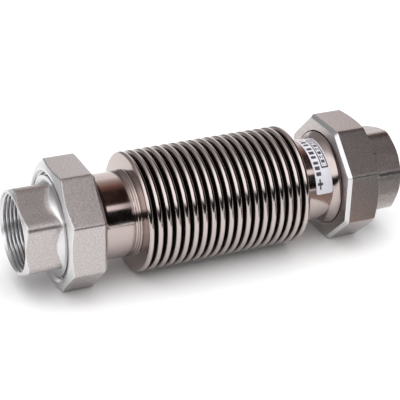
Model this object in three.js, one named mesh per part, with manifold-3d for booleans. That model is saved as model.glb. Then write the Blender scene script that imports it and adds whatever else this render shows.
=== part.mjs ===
// Metal bellows expansion joint, DN 40, with a threaded pipe union at each end.
// Millimetres. X runs along the pipe axis, Z is up, and the origin is on the axis half way along.
// Each end is built once, pointing outwards along +X, and the left end is the same end turned half round.

import * as THREE from 'three';
import { mergeVertices } from 'three/addons/utils/BufferGeometryUtils.js';
import Module from 'manifold-3d';

const wasm = await Module();
wasm.setup();

// ---- driving dimensions ----

const CLEARANCE = 0.3; // gap kept between pieces that touch

const BELLOWS_CREST_R = 36.5;
const BELLOWS_ROOT_R = 27.6;
const BELLOWS_WALL = 0.6; // two plies of 0.3 mm sheet
const BELLOWS_PITCH = 5.67;
const BELLOWS_CRESTS = 19;
const CREST_HALF_WIDTH = 1.8;
const CREST_CORNER = 0.5;
const BELLOWS_CUFF_END_X = 56.2;

const NECK_R = 25.85;
const CUFF_SEAT_R = 24.95; // the neck's inner end, turned down so that the cuff sits nearly flush
const NECK_BORE_R = 23.85;
const NECK_INNER_END_X = 50;
const FLARE_RADIUS = 6;
const FLARE_START_X = 72.7;
const FLARE_END_R = 29.2;
const COLLAR_R = 31;
const COLLAR_LENGTH = 4;

const CUFF_RING_START_X = 54.4;
const CUFF_RING_THICKNESS = 0.6;

const SLEEVE_R = 22.6;
const SLEEVE_WALL = 0.8;
const SLEEVE_LIP_X = -76;
const SLEEVE_FREE_END_X = 69;

const NUT_ACROSS_FLATS = 74;
const NUT_CORNER_ROUNDING = 3;
const NUT_RIM_BEVEL = 2;
const NUT_LIP_X = 78.3;
const NUT_MOUTH_X = 101.2;
const NUT_LIP_THICKNESS = 4.2;
const NUT_LIP_HOLE_R = 29.75;
const NUT_THREAD_R = 32.3; // mean radius of the G 2 1/4 thread, with running clearance

const GASKET_THICKNESS = 2;
const GASKET_BORE_R = 24.4;

const UNION_THREAD_R = 31.85;
const UNION_THREAD_LENGTH = 10; // just over four turns of 2.309 mm
const UNION_BORE_R = 20.6;
const PIPE_THREAD_R = 23.2; // mean radius of the Rp 1 1/2 thread
const PIPE_THREAD_DEPTH = 21.5;
const HEX_ACROSS_FLATS = 50;
const HEX_CORNER_ROUNDING = 6.5;
const HEX_END_X = 123.5;

const LABEL_START_X = 62.4;
const LABEL_WIDTH = 11.2;
const LABEL_THICKNESS = 0.25;
const LABEL_TOP_TURN = -10.7; // degrees from straight up, positive towards -Y
const LABEL_BOTTOM_TURN = 85.3;

const LEFT_HEX_TURN = 1.2; // degrees from straight up to a corner, positive towards -Y
const RIGHT_HEX_TURN = 15.2;

const RING_SEGMENTS = 48;
const BELLOWS_SEGMENTS = 24;

// ---- finishes ----

const finish = (color, roughness, metalness) => ({ color, roughness, metalness });
const BELLOWS_STEEL = finish(0xb9aca6, 0.18, 1);
const NECK_STEEL = finish(0xc2b1a8, 0.15, 1);
const LINER_STEEL = finish(0xa8a3a0, 0.35, 1);
const CAST_STEEL = finish(0xaaa29f, 0.55, 1);
const GASKET_SHEET = finish(0x3f5a4a, 0.85, 0);
const LABEL_FILM = finish(0xe6e3e2, 0.6, 0);

function piece(name, geometry, look) {
  const material = new THREE.MeshStandardMaterial(look);
  const mesh = new THREE.Mesh(geometry, material);
  mesh.name = name;
  return mesh;
}

// ---- solids ----

// A closed profile of [x, radius] pairs, turned round the X axis: first along the bore, then back outside.
function turned(profile, segments = RING_SEGMENTS) {
  const points = profile.map(([x, radius]) => new THREE.Vector2(radius, x)).reverse();
  points.push(points[0].clone());
  return new THREE.LatheGeometry(points, segments).rotateZ(-Math.PI / 2);
}

// A regular outline with rounded corners. turn is the angle from straight up to a corner.
function roundedPolygon(sides, acrossFlats, rounding, turnDegrees) {
  const step = (2 * Math.PI) / sides;
  const cornerCentreR = (acrossFlats / 2 - rounding) / Math.cos(step / 2);
  const outline = new THREE.Shape();
  for (let i = 0; i < sides; i++) {
    const angle = Math.PI + THREE.MathUtils.degToRad(turnDegrees) + i * step;
    const x = cornerCentreR * Math.cos(angle);
    const y = cornerCentreR * Math.sin(angle);
    outline.absarc(x, y, rounding, angle - step / 2, angle + step / 2, false);
  }
  return outline;
}

// An outline extruded along X, from startX over length, with its two rims bevelled.
function prism(outline, startX, length, curveSegments, bevel = 0) {
  const settings = {
    depth: length - 2 * bevel,
    bevelEnabled: bevel > 0,
    bevelThickness: bevel,
    bevelSize: bevel,
    bevelOffset: -bevel,
    bevelSegments: 1,
    curveSegments,
  };
  const geometry = new THREE.ExtrudeGeometry(outline, settings);
  return geometry.rotateY(Math.PI / 2).translate(startX + bevel, 0, 0);
}

function toManifold(geometry) {
  const bare = geometry.clone();
  bare.deleteAttribute('normal');
  bare.deleteAttribute('uv');
  const merged = mergeVertices(bare, 1e-4);
  const vertProperties = new Float32Array(merged.attributes.position.array);
  const triVerts = new Uint32Array(merged.index.array);
  return new wasm.Manifold(new wasm.Mesh({ numProp: 3, vertProperties, triVerts }));
}

function toGeometry(solid) {
  const mesh = solid.getMesh();
  const geometry = new THREE.BufferGeometry();
  geometry.setAttribute('position', new THREE.BufferAttribute(mesh.vertProperties, 3));
  geometry.setIndex(new THREE.BufferAttribute(mesh.triVerts, 1));
  geometry.computeVertexNormals();
  return geometry;
}

const common = (a, b) => toGeometry(toManifold(a).intersect(toManifold(b)));
const joined = (a, b) => toGeometry(toManifold(a).add(toManifold(b)));
const cut = (a, b) => toGeometry(toManifold(a).subtract(toManifold(b)));

// ---- bellows: one convoluted sheet tube, with a short plain cuff at each end ----

function bellows() {
  const crestX = (i) => (i - (BELLOWS_CRESTS - 1) / 2) * BELLOWS_PITCH;
  const rootHalfWidth = BELLOWS_PITCH / 2 - CREST_HALF_WIDTH;
  const flankX = CREST_HALF_WIDTH - CREST_CORNER;
  const outer = [];
  const inner = [];
  for (let i = 0; i < BELLOWS_CRESTS; i++) {
    const x = crestX(i);
    outer.push([x - CREST_HALF_WIDTH, BELLOWS_ROOT_R + rootHalfWidth]);
    outer.push([x - flankX, BELLOWS_CREST_R], [x + flankX, BELLOWS_CREST_R]);
    outer.push([x + CREST_HALF_WIDTH, BELLOWS_ROOT_R + rootHalfWidth]);
    inner.push([x - CREST_HALF_WIDTH + BELLOWS_WALL, BELLOWS_ROOT_R - BELLOWS_WALL]);
    inner.push([x - flankX + BELLOWS_WALL / 2, BELLOWS_CREST_R - BELLOWS_WALL]);
    inner.push([x + flankX - BELLOWS_WALL / 2, BELLOWS_CREST_R - BELLOWS_WALL]);
    inner.push([x + CREST_HALF_WIDTH - BELLOWS_WALL, BELLOWS_ROOT_R - BELLOWS_WALL]);
  }
  const cuffInnerR = CUFF_SEAT_R + CLEARANCE;
  const cuffOuterR = cuffInnerR + BELLOWS_WALL;
  const lastFlankX = crestX(BELLOWS_CRESTS - 1) + CREST_HALF_WIDTH;
  const outerFoot = [lastFlankX + 0.4, cuffOuterR];
  const innerFoot = [lastFlankX - BELLOWS_WALL / 2, cuffInnerR];
  const mirrored = ([x, r]) => [-x, r];
  outer[0] = mirrored(outerFoot);
  outer[outer.length - 1] = outerFoot;
  inner[0] = mirrored(innerFoot);
  inner[inner.length - 1] = innerFoot;
  const profile = [
    [-BELLOWS_CUFF_END_X, cuffInnerR],
    ...inner,
    [BELLOWS_CUFF_END_X, cuffInnerR],
    [BELLOWS_CUFF_END_X, cuffOuterR],
    ...outer.reverse(),
    [-BELLOWS_CUFF_END_X, cuffOuterR],
  ];
  return turned(profile, BELLOWS_SEGMENTS);
}

// ---- guide sleeve: a liner fixed in the left neck, with its free end inside the right neck ----

function guideSleeve() {
  const lipR = NECK_BORE_R - CLEARANCE;
  const lipLength = 6;
  const swageLength = 4;
  const boreR = SLEEVE_R - SLEEVE_WALL;
  const lipBoreR = lipR - SLEEVE_WALL;
  return turned([
    [SLEEVE_LIP_X, lipBoreR],
    [SLEEVE_LIP_X + lipLength, lipBoreR],
    [SLEEVE_LIP_X + lipLength + swageLength, boreR],
    [SLEEVE_FREE_END_X, boreR],
    [SLEEVE_FREE_END_X, SLEEVE_R],
    [SLEEVE_LIP_X + lipLength + swageLength, SLEEVE_R],
    [SLEEVE_LIP_X + lipLength, lipR],
    [SLEEVE_LIP_X, lipR],
  ]);
}

// ---- one end ----

const collarX = NUT_LIP_X + NUT_LIP_THICKNESS + CLEARANCE;
const collarFaceX = collarX + COLLAR_LENGTH;
const gasketX = collarFaceX + CLEARANCE;
const unionFaceX = gasketX + GASKET_THICKNESS + CLEARANCE;
const unionThreadEndX = unionFaceX + UNION_THREAD_LENGTH;

// The neck: a plain tube, stepped down for the cuff, that flares into the collar which the nut pulls on.
function neck() {
  const stepX = BELLOWS_CUFF_END_X + CLEARANCE;
  const flareSteps = 6;
  const flareAngle = Math.acos(1 - (FLARE_END_R - NECK_R) / FLARE_RADIUS);
  const flare = [];
  for (let i = 0; i <= flareSteps; i++) {
    const angle = (flareAngle * i) / flareSteps;
    const x = FLARE_START_X + FLARE_RADIUS * Math.sin(angle);
    flare.push([x, NECK_R + FLARE_RADIUS * (1 - Math.cos(angle))]);
  }
  return turned([
    [NECK_INNER_END_X, NECK_BORE_R],
    [collarFaceX, NECK_BORE_R],
    [collarFaceX, COLLAR_R],
    [collarX, COLLAR_R],
    [collarX, FLARE_END_R],
    ...flare.reverse(),
    [stepX, NECK_R],
    [stepX, CUFF_SEAT_R],
    [NECK_INNER_END_X, CUFF_SEAT_R],
  ]);
}

function cuffRing() {
  const innerR = CUFF_SEAT_R + CLEARANCE + BELLOWS_WALL + CLEARANCE;
  const outerR = innerR + CUFF_RING_THICKNESS;
  return turned([
    [CUFF_RING_START_X, innerR],
    [BELLOWS_CUFF_END_X, innerR],
    [BELLOWS_CUFF_END_X, outerR],
    [CUFF_RING_START_X, outerR],
  ]);
}

function gasket() {
  return turned([
    [gasketX, GASKET_BORE_R],
    [gasketX + GASKET_THICKNESS, GASKET_BORE_R],
    [gasketX + GASKET_THICKNESS, COLLAR_R],
    [gasketX, COLLAR_R],
  ]);
}

// The nut: an octagon with bevelled rims, its corners turned off at the mouth, bored for collar and thread.
function unionNut() {
  const flatUp = 22.5;
  const cornerSegments = 3;
  const length = NUT_MOUTH_X - NUT_LIP_X;
  const outline = roundedPolygon(8, NUT_ACROSS_FLATS, NUT_CORNER_ROUNDING, flatUp);
  const octagon = prism(outline, NUT_LIP_X, length, cornerSegments, NUT_RIM_BEVEL);
  const mouthChamferR = 34.4;
  const mouthChamferLength = 3.6;
  const beyondCorners = 42;
  const mouthBevel = 1;
  const envelope = turned([
    [NUT_LIP_X, NUT_LIP_HOLE_R],
    [NUT_LIP_X + NUT_LIP_THICKNESS, NUT_LIP_HOLE_R],
    [NUT_LIP_X + NUT_LIP_THICKNESS, NUT_THREAD_R],
    [NUT_MOUTH_X - mouthBevel, NUT_THREAD_R],
    [NUT_MOUTH_X, NUT_THREAD_R + mouthBevel],
    [NUT_MOUTH_X, mouthChamferR],
    [NUT_MOUTH_X - mouthChamferLength, beyondCorners],
    [NUT_LIP_X, beyondCorners],
  ]);
  return common(octagon, envelope);
}

// The threaded union end: a round male thread that screws into the nut, and a hexagon with a pipe thread inside.
function unionEnd(hexTurn) {
  const cornerSegments = 5;
  const shoulderR = 29.6;
  const shoulderX = unionThreadEndX + 1.2;
  const filletLength = 8.4;
  const filletSteps = 4;
  const filletFootR = HEX_ACROSS_FLATS / 2 - 0.2; // just inside the flats, so the fillet runs out on them
  const hexStartX = shoulderX - 0.7;
  const endFaceR = 24.6;
  const endChamfer = 3.6;
  const beyondCorners = 31;
  const mouthBevel = 0.8;
  const fillet = [];
  for (let i = 0; i <= filletSteps; i++) {
    const along = (i / filletSteps) ** 2;
    const drop = (shoulderR - filletFootR) * Math.sqrt(1 - (1 - along) ** 2);
    fillet.push([shoulderX + filletLength * along, shoulderR - drop]);
  }
  const outline = roundedPolygon(6, HEX_ACROSS_FLATS, HEX_CORNER_ROUNDING, hexTurn);
  const hexagon = prism(outline, hexStartX, HEX_END_X - hexStartX, cornerSegments);
  const hexEnvelope = turned([
    [hexStartX, UNION_BORE_R],
    [HEX_END_X, UNION_BORE_R],
    [HEX_END_X, endFaceR],
    [HEX_END_X - endChamfer, beyondCorners],
    [hexStartX, beyondCorners],
  ]);
  const threaded = turned([
    [unionFaceX, UNION_BORE_R],
    [shoulderX + filletLength, UNION_BORE_R],
    ...fillet.reverse(),
    [unionThreadEndX, UNION_THREAD_R],
    [unionFaceX + mouthBevel, UNION_THREAD_R],
    [unionFaceX, UNION_THREAD_R - mouthBevel],
  ]);
  const pipeThread = turned([
    [HEX_END_X - PIPE_THREAD_DEPTH, 0],
    [HEX_END_X + mouthBevel, 0],
    [HEX_END_X + mouthBevel, PIPE_THREAD_R + mouthBevel],
    [HEX_END_X - mouthBevel, PIPE_THREAD_R],
    [HEX_END_X - PIPE_THREAD_DEPTH, PIPE_THREAD_R],
  ]);
  return cut(joined(common(hexagon, hexEnvelope), threaded), pipeThread);
}

function label() {
  const innerR = NECK_R + CLEARANCE;
  const outerR = innerR + LABEL_THICKNESS;
  const start = Math.PI + THREE.MathUtils.degToRad(LABEL_TOP_TURN);
  const end = Math.PI + THREE.MathUtils.degToRad(LABEL_BOTTOM_TURN);
  const outline = new THREE.Shape();
  outline.absarc(0, 0, outerR, start, end, false);
  outline.absarc(0, 0, innerR, end, start, true);
  return prism(outline, LABEL_START_X, LABEL_WIDTH, 24);
}

function end(side, hexTurn) {
  const group = new THREE.Group();
  group.add(
    piece(`${side}_neck`, neck(), NECK_STEEL),
    piece(`${side}_cuff_ring`, cuffRing(), NECK_STEEL),
    piece(`${side}_gasket`, gasket(), GASKET_SHEET),
    piece(`${side}_union_nut`, unionNut(), CAST_STEEL),
    piece(`${side}_union_end`, unionEnd(hexTurn), CAST_STEEL),
  );
  return group;
}

// ---- the whole joint ----

const joint = new THREE.Group();
joint.name = 'expansion_joint';
joint.add(piece('bellows', bellows(), BELLOWS_STEEL));
joint.add(piece('guide_sleeve', guideSleeve(), LINER_STEEL));

const rightEnd = end('right', RIGHT_HEX_TURN);
rightEnd.add(piece('rating_label', label(), LABEL_FILM));
joint.add(rightEnd);

const leftEnd = end('left', -LEFT_HEX_TURN);
leftEnd.rotation.z = Math.PI;
joint.add(leftEnd);

export default joint;
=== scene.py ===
# %% [markdown]
# # A steel bellows expansion joint
# This file dresses a finished mechanical model. The CAD gives every piece its place and size, and this script
# gives the pieces the fine shapes and finishes of the real ones: a folded steel bellows, polished necks, cast
# union nuts with turned threads, and a printed sticker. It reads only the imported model, and works in metres.

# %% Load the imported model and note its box
import bpy
from math import acos, atan2, ceil, cos, pi, radians, sin, sqrt, tan
from mathutils import Matrix, Vector


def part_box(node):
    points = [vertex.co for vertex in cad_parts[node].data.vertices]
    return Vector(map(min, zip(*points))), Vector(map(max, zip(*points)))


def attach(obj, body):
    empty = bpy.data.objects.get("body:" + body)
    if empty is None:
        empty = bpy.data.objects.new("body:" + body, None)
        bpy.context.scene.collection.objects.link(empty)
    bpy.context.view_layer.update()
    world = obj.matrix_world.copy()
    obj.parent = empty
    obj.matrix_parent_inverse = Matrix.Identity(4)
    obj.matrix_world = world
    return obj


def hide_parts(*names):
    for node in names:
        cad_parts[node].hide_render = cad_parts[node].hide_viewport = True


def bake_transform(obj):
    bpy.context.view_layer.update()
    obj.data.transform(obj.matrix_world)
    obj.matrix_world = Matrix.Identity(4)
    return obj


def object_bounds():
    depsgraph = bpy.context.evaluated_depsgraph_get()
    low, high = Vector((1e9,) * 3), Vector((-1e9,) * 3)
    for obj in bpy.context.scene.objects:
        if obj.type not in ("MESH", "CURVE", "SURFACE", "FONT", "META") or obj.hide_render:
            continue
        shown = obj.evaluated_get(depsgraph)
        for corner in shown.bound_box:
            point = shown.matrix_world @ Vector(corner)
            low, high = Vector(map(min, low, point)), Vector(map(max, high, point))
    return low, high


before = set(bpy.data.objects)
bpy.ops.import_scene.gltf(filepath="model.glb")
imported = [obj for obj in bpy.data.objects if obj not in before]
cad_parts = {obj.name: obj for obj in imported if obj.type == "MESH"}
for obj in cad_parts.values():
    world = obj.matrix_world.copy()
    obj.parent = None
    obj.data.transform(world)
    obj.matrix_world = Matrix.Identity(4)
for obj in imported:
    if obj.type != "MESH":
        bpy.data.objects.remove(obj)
cad_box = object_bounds()
MM = 0.001
print("CAD box, mm:", [[round(v / MM, 2) for v in corner] for corner in cad_box])

# %% [markdown]
# ## Camera
# The camera stands in front of the joint, on its left and above it, and is tipped a little to one side.

# %% Camera
AIM = Vector((-4.2, 0.0, -1.0)) * MM
CAMERA_DISTANCE = 0.85
CAMERA_TURN = radians(-25.6)  # round the joint from its front, towards its left end
CAMERA_RISE = radians(27.1)
CAMERA_ROLL = radians(1.9)
FOCAL_LENGTH = 125.5

towards_camera = Vector((
    sin(CAMERA_TURN) * cos(CAMERA_RISE),
    -cos(CAMERA_TURN) * cos(CAMERA_RISE),
    sin(CAMERA_RISE),
))
bpy.ops.object.select_all(action="DESELECT")
bpy.ops.object.camera_add(location=AIM + towards_camera * CAMERA_DISTANCE)
camera = bpy.context.object
camera.name = "studio_camera"
camera.data.lens = FOCAL_LENGTH
camera.data.sensor_width = 36
camera.rotation_mode = "QUATERNION"
level = (-towards_camera).to_track_quat("-Z", "Y")
camera.rotation_quaternion = level @ Matrix.Rotation(CAMERA_ROLL, 3, "Z").to_quaternion()
bpy.context.scene.camera = camera
print("camera at, mm:", [round(v / MM, 1) for v in camera.location])

# %% [markdown]
# Shader maths reads best as plain sums. A Wire is a socket that sums can be written with, and a Finish is a
# node tree with one method that adds any node. Every finish below is built from these two.

# %% Shader helpers
class Wire:
    """An output socket of a node tree. Writing a sum on it adds the Math node that does the sum."""

    def __init__(self, finish, socket):
        self.finish = finish
        self.socket = socket

    def math(self, operation, first, second):
        return self.finish.node("ShaderNodeMath", {"operation": operation}, {0: first, 1: second})

    def __add__(self, other):
        return self.math("ADD", self, other)

    def __sub__(self, other):
        return self.math("SUBTRACT", self, other)

    def __rsub__(self, other):
        return self.math("SUBTRACT", other, self)

    def __mul__(self, other):
        return self.math("MULTIPLY", self, other)

    def __truediv__(self, other):
        return self.math("DIVIDE", self, other)

    def __pow__(self, other):
        return self.math("POWER", self, other)


class Finish:
    """A node tree to build a material or the studio's world in."""

    def __init__(self, tree):
        self.tree = tree
        self.tree.nodes.clear()

    def node(self, kind, settings=None, inputs=None, output=0):
        made = self.tree.nodes.new(kind)
        for name, value in (settings or {}).items():
            if name == "stops":
                set_stops(made.color_ramp, value)
            else:
                setattr(made, name, value)
        for name, value in (inputs or {}).items():
            if isinstance(value, Wire):
                self.tree.links.new(value.socket, made.inputs[name])
            else:
                made.inputs[name].default_value = value
        return Wire(self, made.outputs[output]) if len(made.outputs) else made

    def point(self):
        return self.node("ShaderNodeTexCoord", output="Object")

    def axes(self, vector):
        apart = self.node("ShaderNodeSeparateXYZ", inputs={0: vector})
        sockets = apart.socket.node.outputs
        return [Wire(self, socket) for socket in sockets]

    def stretched(self, vector, scale):
        return self.node("ShaderNodeMapping", inputs={"Vector": vector, "Scale": scale})

    def noise(self, vector, scale, detail=2.0, roughness=0.5):
        inputs = {"Vector": vector, "Scale": scale, "Detail": detail, "Roughness": roughness}
        return self.node("ShaderNodeTexNoise", inputs=inputs)

    def between(self, value, low, high, from_low=0.0, from_high=1.0):
        inputs = {0: value, 1: from_low, 2: from_high, 3: low, 4: high}
        return self.node("ShaderNodeMapRange", {"clamp": True}, inputs)

    def ramp(self, value, stops):
        return self.node("ShaderNodeValToRGB", {"stops": stops}, {0: value})

    def mix(self, factor, first, second):
        inputs = {"Factor": factor, 6: first, 7: second}
        return self.node("ShaderNodeMix", {"data_type": "RGBA"}, inputs, output=2)

    def bump(self, height, distance, strength=1.0):
        inputs = {"Height": height, "Distance": distance, "Strength": strength}
        return self.node("ShaderNodeBump", inputs=inputs)


def set_stops(ramp, stops):
    """Give a colour ramp these (place, colour) stops, in order."""
    while len(ramp.elements) > 1:
        ramp.elements.remove(ramp.elements[-1])
    ramp.elements[0].position, ramp.elements[0].color = stops[0]
    for place, colour in stops[1:]:
        ramp.elements.new(place).color = colour


def grey(value):
    return (value, value, value, 1)


def material(name):
    """A new material. Returns its Finish, and a call that adds the Principled shader with its sockets."""
    made = bpy.data.materials.new(name)
    made.use_nodes = True
    finish = Finish(made.node_tree)

    def fill(**values):
        inputs = {key.replace("_", " "): value for key, value in values.items()}
        shader = finish.node("ShaderNodeBsdfPrincipled", inputs=inputs)
        finish.node("ShaderNodeOutputMaterial", inputs={"Surface": shader})
        print("finish:", name, "with", len(finish.tree.nodes), "nodes")
        return made

    return finish, fill


# %% [markdown]
# ## Floor and light
# Polished metal has hardly a colour of its own. It shows the room, so the room is made next. Going round the
# joint from its back, over the top, to its front, the wall behind is pale, the ceiling dark and warm, then
# comes a bright strip, and below it a black gap down to the white floor. That gap draws the black line along
# the steel. On the left a wide window takes the place of ceiling and strip, and the far right is dimmer. Only
# reflections see this room. What isn't a reflection is lit evenly, by pale walls and a ceiling lamp.

# %% The studio's walls and ceiling
BLACK = (0.002, 0.0012, 0.001, 1)
CEILING = (0.032, 0.013, 0.009, 1)
CEILING_EDGE = (0.28, 0.15, 0.115, 1)
WALL_TOP = (0.66, 0.55, 0.51, 1)
WALL = (1.25, 1.22, 1.24, 1)
SHADED_WALL = (0.85, 0.76, 0.74, 1)
SHADED_EDGE = (0.09, 0.045, 0.03, 1)
STRIP = (1.5, 1.42, 1.43, 1)
WINDOW_WALL = grey(0.35)
WINDOW_EDGE = grey(0.7)
WINDOW = grey(1.8)
PALE = grey(0.75)


def turn_stop(degrees):
    """Where an angle from straight up, positive towards the front, falls on a ramp from 0 to 1."""
    return (degrees + 180) / 360


world = bpy.data.worlds.new("studio_walls")
bpy.context.scene.world = world
world.use_nodes = True
walls = Finish(world.node_tree)
direction = walls.node("ShaderNodeTexCoord", output="Generated")
left_to_right, front_to_back, up = walls.axes(direction)
turn = walls.node("ShaderNodeMath", {"operation": "ARCTAN2"}, {0: front_to_back * -1.0, 1: up})
turn_share = turn / (2 * pi) + 0.5
dark_side = walls.ramp(turn_share, [
    (turn_stop(-180), WALL),
    (turn_stop(-55), WALL),
    (turn_stop(-40), WALL_TOP),
    (turn_stop(-20), CEILING_EDGE),
    (turn_stop(-2), CEILING),
    (turn_stop(36), CEILING),
    (turn_stop(38.5), STRIP),
    (turn_stop(49.5), STRIP),
    (turn_stop(51.5), BLACK),
    (turn_stop(92), BLACK),
    (turn_stop(96), WALL),
])
window_side = walls.ramp(turn_share, [
    (turn_stop(-180), WALL),
    (turn_stop(-85), WINDOW_WALL),
    (turn_stop(-45), WINDOW_WALL),
    (turn_stop(-10), WINDOW_EDGE),
    (turn_stop(18), WINDOW),
    (turn_stop(62), WINDOW),
    (turn_stop(71), BLACK),
    (turn_stop(96), BLACK),
    (turn_stop(100), WALL),
])
far_side = walls.ramp(turn_share, [
    (turn_stop(-180), SHADED_WALL),
    (turn_stop(-62), SHADED_WALL),
    (turn_stop(-44), SHADED_EDGE),
    (turn_stop(-24), CEILING),
    (turn_stop(36), CEILING),
    (turn_stop(58), BLACK),
    (turn_stop(92), BLACK),
    (turn_stop(96), WALL),
])
WINDOW_END = (0.21, 0.27)  # how far to the right a direction points where the window fades into the ceiling
STRIP_END = (0.44, 0.49)
on_the_left = walls.between(left_to_right, 1, 0, *WINDOW_END)
on_the_far_right = walls.between(left_to_right, 0, 1, *STRIP_END)
room = walls.mix(on_the_left, dark_side, window_side)
seen_by_metal = walls.mix(on_the_far_right, room, far_side)
is_glossy = walls.node("ShaderNodeLightPath", output="Is Glossy Ray")
walls_light = walls.mix(is_glossy, PALE, seen_by_metal)
background = walls.node("ShaderNodeBackground", inputs={"Color": walls_light, "Strength": 1.0})
walls.node("ShaderNodeOutputWorld", inputs={"Surface": background})
print("room seen by metal: window on the left, dark ceiling and strip in the middle, dim on the right")

# %% Floor, card and lamp
FLOOR_SIZE = 12.0
lowest, _ = cad_box
bpy.ops.object.select_all(action="DESELECT")
bpy.ops.mesh.primitive_plane_add(size=FLOOR_SIZE, location=(0, 0, lowest.z - 0.2 * MM))
floor = bpy.context.object
floor.name = "studio_floor"
floor_finish, fill = material("floor_paper")
fibre = floor_finish.noise(floor_finish.point(), 900)
floor.data.materials.append(fill(
    Base_Color=floor_finish.mix(fibre, grey(0.83), grey(0.87)),
    Roughness=0.9,
    Specular_IOR_Level=0.1,
))

# A dark card lies on the floor in front of the right end. Only reflections see it: the nut mirrors it.
CARD_START = Vector((0.088, -0.036))  # its corner nearest the joint
CARD_SIZE = 0.5
CARD_EDGE = (0.5, 0.37, 0.32, 1)
CARD_GREY = grey(0.26)
bpy.ops.object.select_all(action="DESELECT")
card_place = (CARD_START.x + CARD_SIZE / 2, CARD_START.y - CARD_SIZE / 2, lowest.z - 0.1 * MM)
bpy.ops.mesh.primitive_plane_add(size=CARD_SIZE, location=card_place)
card = bpy.context.object
card.name = "reflected_card"
card.visible_camera = False
card.visible_diffuse = False
card.visible_shadow = False
card_finish, fill = material("shaded_card")
card_x, _, _ = card_finish.axes(card_finish.point())
card.data.materials.append(fill(
    Base_Color=grey(0.0),
    Roughness=1.0,
    Specular_IOR_Level=0.0,
    Emission_Color=card_finish.ramp(card_x / CARD_SIZE + 0.5, [(0, CARD_EDGE), (0.12, CARD_GREY)]),
    Emission_Strength=1.0,
))

LAMP_TURN = radians(10)  # from straight up, towards the front
LAMP_DISTANCE = 2.4
LAMP_SIZE = 4.0
LAMP_WATTS = 88

lamp_place = Vector((0, -sin(LAMP_TURN), cos(LAMP_TURN))) * LAMP_DISTANCE
bpy.ops.object.light_add(type="AREA", location=lamp_place)
lamp = bpy.context.object
lamp.name = "ceiling_fill"
lamp.data.shape = "RECTANGLE"
lamp.data.size = lamp.data.size_y = LAMP_SIZE
lamp.data.energy = LAMP_WATTS
lamp.rotation_mode = "QUATERNION"
lamp.rotation_quaternion = (-lamp_place).to_track_quat("-Z", "Y")
lamp.visible_glossy = False
lamp.visible_camera = False
bpy.context.scene.view_settings.view_transform = "Standard"
print("lamp:", lamp.name, LAMP_WATTS, "W, hidden from reflections")

# %% [markdown]
# ## Turned work
# Nearly every piece here is turned or formed round one axis. On a lathe the maker follows a profile, and in
# Blender the profile is a ring of vertices that the spin tool sweeps round the X axis. Its sharp corners are
# given small arcs first, because no real edge is perfectly sharp, and an arc is what catches the light.

# %% Profile and spin
def rounded_profile(corners, arc_step=radians(20)):
    """Turn (x, radius, rounding, divisions) corners into points: an arc at each rounded corner, and the
    straight stretch that leaves the corner cut into that many divisions."""
    places = [Vector(corner[:2]) for corner in corners]
    arcs = []
    for i, (place, corner) in enumerate(zip(places, corners)):
        rounding = corner[2] if len(corner) > 2 else 0
        if rounding == 0:
            arcs.append([place])
            continue
        to_last = (places[i - 1] - place).normalized()
        to_next = (places[(i + 1) % len(places)] - place).normalized()
        half = acos(max(-1, min(1, to_last.dot(to_next)))) / 2
        centre = place + (to_last + to_next).normalized() * rounding / sin(half)
        spoke = place + to_last * rounding / tan(half) - centre
        sweep = pi - 2 * half
        if to_last.x * to_next.y - to_last.y * to_next.x > 0:
            sweep = -sweep
        steps = max(2, ceil(abs(sweep) / arc_step))
        arcs.append([centre + Matrix.Rotation(sweep * k / steps, 2) @ spoke for k in range(steps + 1)])
    points = []
    for i, (arc, corner) in enumerate(zip(arcs, corners)):
        points += arc
        divisions = corner[3] if len(corner) > 3 else 1
        leave, arrive = arc[-1], arcs[(i + 1) % len(arcs)][0]
        points += [leave.lerp(arrive, k / divisions) for k in range(1, divisions)]
    return points


MERGE_DISTANCE = 0.002 * MM


def spun(name, corners, steps=128, arc_step=radians(20)):
    """A closed profile swept round the X axis. It starts as a circle with a vertex for each point."""
    points = rounded_profile(corners, arc_step)
    bpy.ops.object.select_all(action="DESELECT")
    bpy.ops.mesh.primitive_circle_add(vertices=len(points), radius=10 * MM)
    piece = bpy.context.object
    piece.name = piece.data.name = name
    for vertex, point in zip(piece.data.vertices, points):
        vertex.co = (point.x, 0, point.y)
    bpy.ops.object.mode_set(mode="EDIT")
    bpy.ops.mesh.select_all(action="SELECT")
    bpy.ops.mesh.spin(steps=steps, angle=2 * pi, center=(0, 0, 0), axis=(1, 0, 0))
    bpy.ops.mesh.select_all(action="SELECT")
    bpy.ops.mesh.remove_doubles(threshold=MERGE_DISTANCE)
    bpy.ops.mesh.normals_make_consistent(inside=False)
    bpy.ops.object.mode_set(mode="OBJECT")
    return piece


def finish_piece(piece, body, node, materials, crease=35):
    """Shade a piece, hang it on its body if it has just one, and let it stand for its CAD node."""
    for made in materials:
        piece.data.materials.append(made)
    bpy.ops.object.select_all(action="DESELECT")
    piece.select_set(True)
    bpy.context.view_layer.objects.active = piece
    bpy.ops.object.shade_smooth_by_angle(angle=radians(crease))
    if body:
        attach(piece, body)
    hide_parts(node)
    print("piece:", piece.name, len(piece.data.polygons), "faces")


# %% [markdown]
# A nut or a threaded end starts on the same lathe. Its flats and its thread are then given by moving each
# point of the turned skin in or out: a flat is where the skin may not stand further out than the polygon,
# and a thread is a wave that climbs along the axis as it goes round.

# %% Moving a turned skin in and out
def polar(point):
    """The radius of a point, and its angle from straight up, positive towards the front."""
    return sqrt(point.y ** 2 + point.z ** 2), atan2(-point.y, point.z)


def reshape(piece, radius_at):
    """Move each vertex in or out, to the radius that radius_at gives for its x, its angle and its radius."""
    for vertex in piece.data.vertices:
        radius, angle = polar(vertex.co)
        wanted = radius_at(vertex.co.x, angle, radius)
        vertex.co.y *= wanted / radius
        vertex.co.z *= wanted / radius


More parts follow.
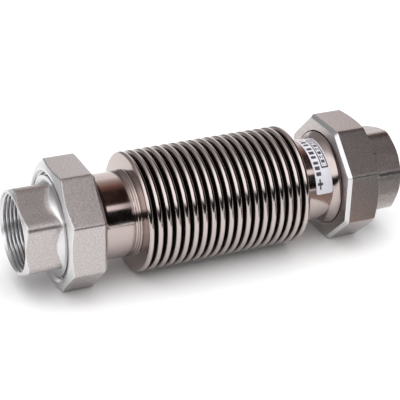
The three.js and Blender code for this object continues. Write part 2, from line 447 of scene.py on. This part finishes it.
def gather_at_corners(piece, sides, first_corner, pull):
    """Slide the columns of a spun piece round towards its corners, where the shape changes fastest."""
    half_side = pi / sides
    for vertex in piece.data.vertices:
        radius, angle = polar(vertex.co)
        side = round((angle - first_corner) / (2 * half_side))
        share = (angle - first_corner) / half_side - 2 * side
        moved = abs(share) ** pull * (1 if share > 0 else -1)
        angle = first_corner + (2 * side + moved) * half_side
        vertex.co.y = -radius * sin(angle)
        vertex.co.z = radius * cos(angle)


def polygon_radius(angle, sides, across_flats, rounding, first_corner):
    """How far out a regular polygon with rounded corners reaches at an angle."""
    half_side = pi / sides
    off_corner = (angle - first_corner + half_side) % (2 * half_side) - half_side
    flat = across_flats / 2 / cos(half_side - abs(off_corner))
    centre = (across_flats / 2 - rounding) / cos(half_side)
    tangent = atan2(rounding * sin(half_side), centre + rounding * cos(half_side))
    if abs(off_corner) >= tangent:
        return flat
    return centre * cos(off_corner) + sqrt(rounding ** 2 - (centre * sin(off_corner)) ** 2)


def soft_least(first, second, softness):
    """The smaller of two radii, with the edge between them rounded."""
    share = max(0, min(1, 0.5 + 0.5 * (second - first) / softness))
    return second + (first - second) * share - softness * share * (1 - share)


def soft_most(first, second, softness):
    return -soft_least(-first, -second, softness)


def eased(value, low, high):
    share = max(0, min(1, (value - low) / (high - low)))
    return share * share * (3 - 2 * share)


THREAD_PITCH = 2.309 * MM  # eleven turns to the inch, as on both threads here
THREAD_WAVE = 0.68 * MM


def thread_wave(x, angle, start, end):
    """A right-hand thread's height about its mean radius, fading out over one turn at both ends."""
    fade = eased(x, start, start + THREAD_PITCH) * eased(-x, -end, THREAD_PITCH - end)
    return THREAD_WAVE * fade * cos(2 * pi * x / THREAD_PITCH - angle)


def mark_second_finish(piece, has_it):
    """Give the faces that the test picks the second of the piece's two materials."""
    count = 0
    for face in piece.data.polygons:
        radius, _ = polar(face.center)
        if has_it(face.center.x, radius, face.normal):
            face.material_index = 1
            count += 1
    print(piece.name, "faces in the second finish:", count)


def turned_round(piece):
    """Turn a right-hand piece half round the Z axis, which makes it the left-hand one."""
    piece.data.transform(Matrix.Rotation(pi, 4, "Z"))


# %% Sizes taken from the frame
def side_box(node):
    """A node's span along X and its greatest radius, on the right-hand end."""
    low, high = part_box(node)
    return low.x, high.x, high.z


neck_start, collar_face, collar_radius = side_box("right_neck")
cuff_start, cuff_end, _ = side_box("right_cuff_ring")
gasket_start, gasket_end, gasket_radius = side_box("right_gasket")
nut_lip, nut_mouth, nut_half_width = side_box("right_union_nut")
union_face, hex_end, _ = side_box("right_union_end")
_, bellows_end, bellows_radius = side_box("bellows")
sleeve_lip, sleeve_end, _ = side_box("guide_sleeve")
label_start, label_end, _ = side_box("rating_label")
print("nut, mm: from", round(nut_lip / MM, 2), "to", round(nut_mouth / MM, 2))

# %% [markdown]
# ## Steel finishes
# The bellows and the necks are rolled from thin stainless sheet and polished on a lathe, so the marks run
# round them in fine rings. The polish is high enough to mirror the room. Down in the grooves no mop has
# reached, so the steel is rougher there, and its colour is painted dark as the shade that falls in the
# grooves.

# %% Polished steel
NECK_TINTS = (0.475, 0.40, 0.38, 1), (0.43, 0.365, 0.35, 1)
NECK_STAIN = (0.37, 0.3, 0.275, 1)
BELLOWS_TINTS = (0.53, 0.47, 0.45, 1), (0.47, 0.415, 0.4, 1)
# The dark colour below is painted shade for the grooves, and the reach after it also sets where that painted
# shade fades out.
GROOVE_PAINTED_SHADE = (0.05, 0.042, 0.04, 1)
GROOVE_SHADE_REACH = 33.2, 36.2  # millimetres from the axis: the polish begins at the first and is full at the second, and the painted groove shade fades out between them


def rings(finish, point, fineness):
    """Fine marks that run round the X axis."""
    return finish.noise(finish.stretched(point, (fineness, 40, 40)), 1.0, detail=3)


def axis_radius(finish, point):
    """The distance of a point from the X axis, in millimetres."""
    _, y, z = finish.axes(point)
    return (y * y + z * z) ** 0.5 * 1000.0


def neck_material():
    finish, fill = material("polished_neck_steel")
    point = finish.point()
    marks = rings(finish, point, 5000)
    cloud = finish.noise(point, 60, detail=3)
    stain = finish.noise(point, 170, detail=4, roughness=0.65)
    tint = finish.mix(cloud, *NECK_TINTS)
    colour = finish.mix(finish.between(stain, 0, 0.5, 0.58, 0.75), tint, NECK_STAIN)
    height = marks + cloud * 6.0
    return fill(
        Base_Color=colour,
        Metallic=1.0,
        Roughness=finish.between(marks, 0.09, 0.17) + finish.between(stain, 0, 0.05, 0.5, 0.7),
        Normal=finish.bump(height, 0.01 * MM, 0.5),
    )


def bellows_material():
    finish, fill = material("polished_bellows_steel")
    point = finish.point()
    marks = rings(finish, point, 7000)
    cloud = finish.noise(point, 90, detail=3)
    polished_and_unshaded = finish.between(axis_radius(finish, point), 0, 1, *GROOVE_SHADE_REACH)
    polished = finish.mix(cloud, *BELLOWS_TINTS)
    # Painted shade: in the grooves the colour is darkened to stand for the shade that falls there.
    colour = finish.mix(polished_and_unshaded, GROOVE_PAINTED_SHADE, polished)
    return fill(
        Base_Color=colour,
        Metallic=1.0,
        Roughness=finish.between(polished_and_unshaded, 0.5, 0.13) + finish.between(marks, -0.04, 0.05),
        Normal=finish.bump(marks, 0.008 * MM, 0.5),
    )


polished_neck = neck_material()
polished_bellows = bellows_material()

# %% [markdown]
# The nuts and the threaded ends are investment castings, blasted with grit to an even matt grey. Close up the
# skin is a field of tiny dents. The faces that were machined afterwards, the bevels, the threads and the pipe
# end's face, have no dents but the fine rings of the lathe.

# %% Cast and machined steel
CAST_TINTS = (0.56, 0.505, 0.495, 1), (0.62, 0.565, 0.555, 1)
DENT_GREY = grey(0.2)
MACHINED_TINTS = (0.63, 0.62, 0.63, 1), (0.70, 0.69, 0.7, 1)


def cast_material():
    finish, fill = material("blasted_cast_steel")
    point = finish.point()
    grit = finish.noise(point, 2600, detail=2, roughness=0.6)
    dents = finish.noise(point, 900, detail=2)
    cloud = finish.noise(point, 55, detail=4, roughness=0.6)
    skin = finish.mix(cloud, *CAST_TINTS)
    speck = finish.noise(point, 1000, detail=3, roughness=0.7)
    specked = finish.mix(0.42, skin, DENT_GREY)
    mottled = finish.mix(finish.between(speck, 0, 1, 0.4, 0.62), specked, skin)
    dented = finish.mix(0.25, mottled, DENT_GREY)
    colour = finish.mix(finish.between(grit, 0, 1, 0.35, 0.6), dented, mottled)
    height = grit + dents * 1.6
    return fill(
        Base_Color=colour,
        Metallic=1.0,
        Roughness=finish.between(grit, 0.26, 0.34, 0.3, 0.7),
        Normal=finish.bump(height, 0.042 * MM, 0.9),
    )


def machined_material():
    finish, fill = material("machined_steel")
    point = finish.point()
    marks = rings(finish, point, 3500)
    nicks = finish.noise(point, 700, detail=3)
    colour = finish.mix(nicks, *MACHINED_TINTS)
    return fill(
        Base_Color=colour,
        Metallic=1.0,
        Roughness=finish.between(marks, 0.22, 0.36),
        Normal=finish.bump(marks + nicks, 0.02 * MM, 0.6),
    )


cast_steel = cast_material()
machined_steel = machined_material()

# %% [markdown]
# ## Bellows
# The bellows is one thin tube, folded into nineteen waves by pressing it out from inside. Each crest is a
# half round, and the sheet is 0.6 mm thick, so the profile goes along the outside of all the waves and comes
# back along the inside. The flat flank at each end is polished like the necks.

# %% Bellows
CRESTS = 19
PITCH = 5.67 * MM
CREST_HALF = 1.8 * MM
ROOT_RADIUS = 27.6 * MM
SHEET = 0.6 * MM
NECK_RADIUS = 25.85 * MM
CUFF_SEAT_RADIUS = 24.95 * MM  # the neck is turned down where the cuff sits


def wave_corners(crest, root, half_width, crest_round, root_round):
    """The corners of all the waves, from the left end to the right."""
    corners = []
    for i in range(CRESTS):
        middle = (i - (CRESTS - 1) / 2) * PITCH
        for turn_at in (-half_width, half_width):
            corners.append((middle + turn_at, root, root_round))
            corners.append((middle + turn_at, crest, crest_round))
        corners[-1], corners[-2] = corners[-2], corners[-1]
    return corners[1:-1]


cuff_outside = CUFF_SEAT_RADIUS + 0.3 * MM + SHEET
cuff_inside = cuff_outside - SHEET
last_crest = (CRESTS - 1) / 2 * PITCH
last_flank = last_crest + CREST_HALF
outside = wave_corners(bellows_radius, ROOT_RADIUS, CREST_HALF, 1.7 * MM, 0.95 * MM)
inside = wave_corners(bellows_radius - SHEET, ROOT_RADIUS - SHEET, CREST_HALF - SHEET, 1.1 * MM, 1.5 * MM)
bellows_profile = [
    (-bellows_end, cuff_outside),
    (-last_flank, cuff_outside, 0.8 * MM),
    *outside,
    (last_flank, cuff_outside, 0.8 * MM),
    (bellows_end, cuff_outside),
    (bellows_end, cuff_inside),
    (last_flank - SHEET, cuff_inside),
    *reversed(inside),
    (SHEET - last_flank, cuff_inside),
    (-bellows_end, cuff_inside),
]
bellows = spun("steel_bellows", bellows_profile, steps=144, arc_step=radians(24))
end_flank_start = last_crest + 0.6 * MM
mark_second_finish(bellows, lambda x, radius, normal: abs(x) > end_flank_start)
finish_piece(bellows, None, "bellows", [polished_bellows, polished_neck])
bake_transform(bellows)

# %% [markdown]
# ## Necks, cuff rings and guide sleeve
# Each neck is a turned stub: a thin plain tube that flares, through a hollow curve, into the collar that the
# union nut pulls against. A narrow ring covers the weld between neck and bellows: a low bead next to the
# bellows, and a band beside it that is polished almost flush with the neck. Inside runs the guide sleeve,
# which keeps the flow off the waves. Its far end is free, so the bellows can still breathe.

# %% Necks
NECK_BORE = 23.85 * MM
FLARE_CURVE = 6 * MM
FLARE_START = 72.7 * MM
LIP_RADIUS = 29.2 * MM
COLLAR_LENGTH = 4 * MM
FLARE_STEPS = 8


def neck(side):
    sweep = acos(1 - (LIP_RADIUS - NECK_RADIUS) / FLARE_CURVE)
    flare = []
    for k in range(FLARE_STEPS + 1):
        angle = sweep * k / FLARE_STEPS
        flare.append((FLARE_START + FLARE_CURVE * sin(angle), NECK_RADIUS + FLARE_CURVE * (1 - cos(angle))))
    collar_start = collar_face - COLLAR_LENGTH
    step = cuff_end + 0.3 * MM
    return spun(f"{side}_neck_tube", [
        (neck_start, CUFF_SEAT_RADIUS, 0.3 * MM),
        (step, CUFF_SEAT_RADIUS),
        (step, NECK_RADIUS, 0.3 * MM),
        *flare,
        (collar_start, LIP_RADIUS, 0.4 * MM),
        (collar_start, collar_radius, 0.4 * MM),
        (collar_face, collar_radius, 0.4 * MM),
        (collar_face, NECK_BORE, 0.4 * MM),
        (neck_start, NECK_BORE, 0.3 * MM),
    ])


for side in ("right", "left"):
    neck_tube = neck(side)
    if side == "left":
        turned_round(neck_tube)
    finish_piece(neck_tube, f"{side}_half", f"{side}_neck", [polished_neck])

# %% Cuff rings
BEAD_HEIGHT = 0.35 * MM
BAND_HEIGHT = 0.07 * MM
RING_CLEARANCE = 0.02 * MM

for side in ("right", "left"):
    ring = spun(f"{side}_weld_ring", [
        (cuff_start - 0.3 * MM, NECK_RADIUS + RING_CLEARANCE),
        (cuff_start - 0.3 * MM, NECK_RADIUS + BEAD_HEIGHT, 0.25 * MM),
        (cuff_start + 0.5 * MM, NECK_RADIUS + BEAD_HEIGHT, 0.25 * MM),
        (cuff_start + 0.8 * MM, NECK_RADIUS + BAND_HEIGHT),
        (cuff_end + 0.5 * MM, NECK_RADIUS + BAND_HEIGHT, 0.03 * MM),
        (cuff_end + 0.5 * MM, NECK_RADIUS + RING_CLEARANCE),
    ])
    if side == "left":
        turned_round(ring)
    finish_piece(ring, f"{side}_half", f"{side}_cuff_ring", [polished_neck])

# %% Guide sleeve
SLEEVE_RADIUS = 22.6 * MM
SLEEVE_WALL = 0.8 * MM
SWAGE_START = sleeve_lip + 6 * MM
SWAGE_END = SWAGE_START + 4 * MM
SLEEVE_LIP_RADIUS = NECK_BORE - 0.05 * MM
sleeve = spun("flow_guide_sleeve", [
    (sleeve_lip, SLEEVE_LIP_RADIUS, 0.2 * MM),
    (SWAGE_START, SLEEVE_LIP_RADIUS, 3 * MM),
    (SWAGE_END, SLEEVE_RADIUS, 3 * MM),
    (sleeve_end, SLEEVE_RADIUS, 0.2 * MM),
    (sleeve_end, SLEEVE_RADIUS - SLEEVE_WALL, 0.2 * MM),
    (SWAGE_END, SLEEVE_RADIUS - SLEEVE_WALL, 3 * MM),
    (SWAGE_START, SLEEVE_LIP_RADIUS - SLEEVE_WALL, 3 * MM),
    (sleeve_lip, SLEEVE_LIP_RADIUS - SLEEVE_WALL, 0.2 * MM),
])
finish_piece(sleeve, "left_half", "guide_sleeve", [machined_steel])

# %% [markdown]
# ## Union nuts
# The nut is cast as an octagon. Its rim on the bellows side has a narrow straight bevel. At the mouth it was
# turned on the lathe, and where that cone crosses the flats it leaves the row of arcs that every nut has.

# %% Union nuts
NUT_WIDTH = 2 * nut_half_width
NUT_SIDES = 8
NUT_FIRST_CORNER = pi / NUT_SIDES
NUT_CORNER = 3 * MM
NUT_BEVEL = 2 * MM
NUT_HOLE = 29.75 * MM
NUT_LIP_THICKNESS = 4.2 * MM
NUT_THREAD = 32.35 * MM
MOUTH_FACE_RADIUS = 34.6 * MM
MOUTH_CONE_SLOPE = 0.47  # length over height
BEYOND_CORNERS = 40.6 * MM
NUT_INSIDE = 33.5 * MM  # nearer the axis than this is the hole, further out is the skin
ON_THREAD = 0.1 * MM  # a point this near the thread's mean radius belongs to the thread


def nut_radius(x, angle, radius):
    """The skin of the nut: octagon and cone outside, thread inside."""
    thread_start = nut_lip + NUT_LIP_THICKNESS + 0.6 * MM
    if radius < NUT_INSIDE:
        threaded = abs(radius - NUT_THREAD) < ON_THREAD and x > thread_start
        return radius + thread_wave(x, angle, thread_start, nut_mouth) if threaded else radius
    bevel = max(0, NUT_BEVEL - (x - nut_lip))
    octagon = polygon_radius(angle, NUT_SIDES, NUT_WIDTH - 2 * bevel, NUT_CORNER, NUT_FIRST_CORNER)
    return soft_least(radius, octagon, 0.5 * MM)


def union_nut(side):
    cone_length = (BEYOND_CORNERS - MOUTH_FACE_RADIUS) * MOUTH_CONE_SLOPE
    inner_face = nut_lip + NUT_LIP_THICKNESS
    nut = spun(f"{side}_cast_union_nut", [
        (nut_lip, BEYOND_CORNERS, 0, 18),
        (nut_lip + 2.6 * MM, BEYOND_CORNERS, 0, 12),
        (nut_mouth - cone_length, BEYOND_CORNERS, 0, 26),
        (nut_mouth, MOUTH_FACE_RADIUS, 0.3 * MM),
        (nut_mouth, NUT_THREAD + 0.9 * MM, 0.15 * MM),
        (nut_mouth - 1.2 * MM, NUT_THREAD, 0, 64),
        (inner_face + 0.3 * MM, NUT_THREAD),
        (inner_face, NUT_THREAD - 0.4 * MM),
        (inner_face, NUT_HOLE, 0.4 * MM),
        (nut_lip, NUT_HOLE, 0.5 * MM),
        (nut_lip, 31.5 * MM),
    ], steps=NUT_SIDES * 22)
    gather_at_corners(nut, NUT_SIDES, NUT_FIRST_CORNER, 1.7)
    reshape(nut, nut_radius)
    return nut


def nut_is_machined(x, radius, normal):
    """The mouth's cone, the rim's bevel and the thread were machined."""
    outward = sqrt(normal.y ** 2 + normal.z ** 2)
    cone = x > nut_mouth - 4 * MM and normal.x > 0.5
    bevel = normal.x < -0.35 and outward > 0.35 and radius > 34 * MM
    hole = radius < 33.4 * MM and x > nut_lip + 1 * MM
    return cone or bevel or hole


for side in ("right", "left"):
    nut = union_nut(side)
    mark_second_finish(nut, nut_is_machined)
    if side == "left":
        turned_round(nut)
    finish_piece(nut, f"{side}_nut", f"{side}_union_nut", [cast_steel, machined_steel])

# %% [markdown]
# ## Threaded union ends
# The union end is a casting too: a hexagon for the spanner, with a pipe thread cut inside it and a round
# shoulder with the union's own thread behind. A fillet was turned between shoulder and hexagon, and it cuts
# into the six corners and runs out on the flats.

# %% Threaded union ends
HEX_WIDTH = 50 * MM
HEX_SIDES = 6
HEX_CORNER = 6.5 * MM
HEX_TURN = {"left": radians(1.2), "right": radians(15.2)}  # from straight up to a corner
END_THREAD = 32.0 * MM
END_THREAD_LENGTH = 10 * MM
RELIEF_LENGTH = 2.2 * MM  # turned plain behind the thread, so that the nut can run off it
END_BORE = 20.6 * MM
SOCKET_THREAD = 23.17 * MM
SOCKET_DEPTH = 21.5 * MM
SHOULDER_RADIUS = 30.2 * MM
RELIEF_RADIUS = 29.9 * MM
FILLET_LENGTH = 8.4 * MM
END_FACE_RADIUS = 24.6 * MM
END_CONE_SLOPE = 0.56  # length over height
SKIN_RADIUS = 30.5 * MM
END_INSIDE = 24.8 * MM  # nearer the axis than this is the bore and the socket

thread_end = union_face + END_THREAD_LENGTH
fillet_start = thread_end + 1.2 * MM


def end_radius(x, angle, radius, first_corner):
    """The skin of the union end: thread, shoulder fillet, hexagon and end cone outside, socket inside."""
    if radius < END_INSIDE:
        threaded = abs(radius - SOCKET_THREAD) < ON_THREAD
        return radius + thread_wave(x, angle, hex_end - SOCKET_DEPTH, hex_end) if threaded else radius
    if x < fillet_start:
        threaded = abs(radius - END_THREAD) < ON_THREAD
        return radius + thread_wave(x, angle, union_face, thread_end - RELIEF_LENGTH) if threaded else radius
    if x > hex_end - 0.001 * MM:
        return radius
    along = min(1, (x - fillet_start) / FILLET_LENGTH)
    drop = SHOULDER_RADIUS - HEX_WIDTH / 2 + 0.2 * MM
    fillet = SHOULDER_RADIUS - drop * sqrt(1 - (1 - along) ** 2)
    cone = END_FACE_RADIUS + (hex_end - x) / END_CONE_SLOPE
    hexagon = polygon_radius(angle, HEX_SIDES, HEX_WIDTH, HEX_CORNER, first_corner)
    return soft_most(fillet, soft_least(cone, hexagon, 0.6 * MM), 0.7 * MM)


def union_end(side):
    first_corner = HEX_TURN[side] * (1 if side == "right" else -1)
    end = spun(f"{side}_threaded_union_end", [
        (union_face, END_THREAD - 1.1 * MM, 0.2 * MM),
        (union_face + 1.1 * MM, END_THREAD, 0, 40),
        (thread_end - RELIEF_LENGTH, END_THREAD),
        (thread_end - RELIEF_LENGTH, RELIEF_RADIUS),
        (fillet_start, SHOULDER_RADIUS, 0, 24),
        (fillet_start + FILLET_LENGTH + 0.5 * MM, SKIN_RADIUS, 0, 10),
        (hex_end - 3 * MM, SKIN_RADIUS, 0, 22),
        (hex_end - 0.01 * MM, END_FACE_RADIUS + 0.02 * MM),
        (hex_end, END_FACE_RADIUS),
        (hex_end, SOCKET_THREAD + 0.7 * MM, 0.15 * MM),
        (hex_end - 0.9 * MM, SOCKET_THREAD, 0, 80),
        (hex_end - SOCKET_DEPTH, SOCKET_THREAD),
        (hex_end - SOCKET_DEPTH - 0.6 * MM, END_BORE, 0.3 * MM),
        (union_face, END_BORE, 0.4 * MM),
    ], steps=HEX_SIDES * 26)
    gather_at_corners(end, HEX_SIDES, first_corner, 1.3)
    reshape(end, lambda x, angle, radius: end_radius(x, angle, radius, first_corner))
    return end


def end_is_machined(x, radius, normal):
    """The union thread, the shoulder's fillet, the cone at the end and the inside were machined."""
    turned_shoulder = x < fillet_start + FILLET_LENGTH and normal.x > 0.25
    end_cone = x > hex_end - 4 * MM and normal.x > 0.5
    inside = radius < 24.75 * MM
    return x < fillet_start or turned_shoulder or end_cone or inside


for side in ("right", "left"):
    end = union_end(side)
    mark_second_finish(end, end_is_machined)
    if side == "left":
        turned_round(end)
    finish_piece(end, f"{side}_pipe_end", f"{side}_union_end", [cast_steel, machined_steel])

# %% [markdown]
# ## Gaskets
# Between each collar and its union end lies a flat ring punched from pressed fibre sheet.

# %% Gaskets
FIBRE_TINTS = (0.03, 0.035, 0.04, 1), (0.09, 0.1, 0.105, 1)


def fibre_material():
    finish, fill = material("pressed_fibre_sheet")
    point = finish.point()
    flecks = finish.noise(finish.stretched(point, (900, 900, 300)), 1.0, detail=4, roughness=0.7)
    mat = finish.noise(point, 2200, detail=2)
    colour = finish.mix(finish.between(flecks, 0, 1, 0.42, 0.6), *FIBRE_TINTS)
    return fill(
        Base_Color=colour,
        Roughness=finish.between(mat, 0.7, 0.9),
        Normal=finish.bump(mat + flecks, 0.05 * MM, 0.7),
    )


GASKET_BORE = 24.4 * MM
gasket_fibre = fibre_material()
for side in ("right", "left"):
    gasket = spun(f"{side}_sheet_gasket", [
        (gasket_start, gasket_radius, 0.2 * MM),
        (gasket_end, gasket_radius, 0.2 * MM),
        (gasket_end, GASKET_BORE, 0.2 * MM),
        (gasket_start, GASKET_BORE, 0.2 * MM),
    ])
    if side == "left":
        turned_round(gasket)
    finish_piece(gasket, f"{side}_half", f"{side}_gasket", [gasket_fibre])

# %% [markdown]
# ## Rating sticker
# A strip of pale film is wrapped a quarter of the way round the right neck. Its print is generic: a framed
# row of plain blocks on the side of the nut, a row of short dashes on the side of the bellows, and a small
# cross near the lower end. The film's own UV map places the print: u runs along the pipe, v down the strip.

# %% Sticker
LABEL_TOP = radians(-10.7)  # from straight up, positive towards the front
LABEL_BOTTOM = radians(85.3)
LABEL_CORNER = 1.3 * MM
LABEL_RADIUS = NECK_RADIUS + 0.05 * MM
FILM_THICKNESS = 0.12 * MM


def sticker():
    """A grid of film, its four corners rounded, bent round the neck and given thickness."""
    width = label_end - label_start
    height = LABEL_RADIUS * (LABEL_BOTTOM - LABEL_TOP)
    bpy.ops.object.select_all(action="DESELECT")
    bpy.ops.mesh.primitive_grid_add(x_subdivisions=16, y_subdivisions=96, size=2, calc_uvs=True)
    film = bpy.context.object
    film.name = film.data.name = "rating_sticker"
    places = []
    for vertex in film.data.vertices:
        across = (vertex.co.x + 1) / 2
        down = (1 - vertex.co.y) / 2
        from_end = min(down, 1 - down) * height
        into_corner = max(0, LABEL_CORNER - from_end)
        inset = LABEL_CORNER - sqrt(LABEL_CORNER ** 2 - into_corner ** 2)
        across = (inset + across * (width - 2 * inset)) / width
        places.append((across, down))
        angle = LABEL_TOP + (LABEL_BOTTOM - LABEL_TOP) * down
        vertex.co = (label_start + width * across, -LABEL_RADIUS * sin(angle), LABEL_RADIUS * cos(angle))
    uv = film.data.uv_layers.active.data
    for loop in film.data.loops:
        uv[loop.index].uv = places[loop.vertex_index]
    bpy.ops.object.modifier_add(type="SOLIDIFY")
    film.modifiers[-1].thickness = FILM_THICKNESS
    film.modifiers[-1].offset = 1
    bpy.ops.object.modifier_apply(modifier=film.modifiers[-1].name)
    bpy.ops.object.mode_set(mode="EDIT")
    bpy.ops.mesh.select_all(action="SELECT")
    bpy.ops.mesh.normals_make_consistent(inside=False)
    bpy.ops.object.mode_set(mode="OBJECT")
    return film


# %% The sticker's print
FILM_TINTS = (0.56, 0.55, 0.6, 1), (0.62, 0.61, 0.66, 1)
INK = (0.035, 0.033, 0.036, 1)
# Each area of the print is a span of u and a span of v.
FRAME_OUTSIDE = (0.50, 0.93), (0.05, 0.63)
FRAME_INSIDE = (0.565, 0.865), (0.075, 0.605)
BLOCK_ROW = (0.61, 0.82), (0.095, 0.585)
HOLE_ROW = (0.69, 0.76), (0.09, 0.59)
DASH_ROW = (0.10, 0.40), (0.04, 0.74)
CROSS_BAR = (0.10, 0.42), (0.83, 0.87)
CROSS_POST = (0.21, 0.31), (0.78, 0.93)
DASH_GAPS = (0.22, 0.27), (0.47, 0.52)  # two spans of v where the row of dashes is broken


def within(finish, value, low, high):
    """One between the two limits, nought outside them."""
    above = finish.node("ShaderNodeMath", {"operation": "GREATER_THAN"}, {0: value, 1: low})
    below = finish.node("ShaderNodeMath", {"operation": "LESS_THAN"}, {0: value, 1: high})
    return above * below


def patch(finish, u, v, area):
    u_span, v_span = area
    return within(finish, u, *u_span) * within(finish, v, *v_span)


def repeated(finish, value, count, low, high):
    """Bars that repeat along a value, each one filling part of its share."""
    share = finish.node("ShaderNodeMath", {"operation": "FRACT"}, {0: value * count})
    return within(finish, share, low, high)


def label_material():
    finish, fill = material("printed_label_film")
    point = finish.point()
    place = finish.node("ShaderNodeUVMap", {"uv_map": "UVMap"})
    u, v, _ = finish.axes(place)
    frame_line = patch(finish, u, v, FRAME_OUTSIDE) - patch(finish, u, v, FRAME_INSIDE)
    blocks = patch(finish, u, v, BLOCK_ROW) * repeated(finish, v, 14, 0.08, 0.76)
    holes = patch(finish, u, v, HOLE_ROW) * repeated(finish, v, 7, 0.0, 0.5)
    dashes = patch(finish, u, v, DASH_ROW) * repeated(finish, v, 12, 0.12, 0.78)
    gaps = within(finish, v, *DASH_GAPS[0]) + within(finish, v, *DASH_GAPS[1])
    cross = patch(finish, u, v, CROSS_BAR) + patch(finish, u, v, CROSS_POST)
    ink = frame_line + blocks * (1.0 - holes) + dashes * (1.0 - gaps) + cross
    wear = finish.noise(point, 1500, detail=3)
    print_share = finish.between(ink, 0, 1) * finish.between(wear, 0.88, 1.0, 0.35, 0.5)
    film = finish.mix(finish.noise(point, 140, detail=3), *FILM_TINTS)
    return fill(
        Base_Color=finish.mix(print_share, film, INK),
        Roughness=finish.between(wear, 0.34, 0.46),
        Coat_Weight=0.15,
        Normal=finish.bump(wear, 0.01 * MM, 0.4),
    )


film = sticker()
finish_piece(film, "right_half", "rating_label", [label_material()])
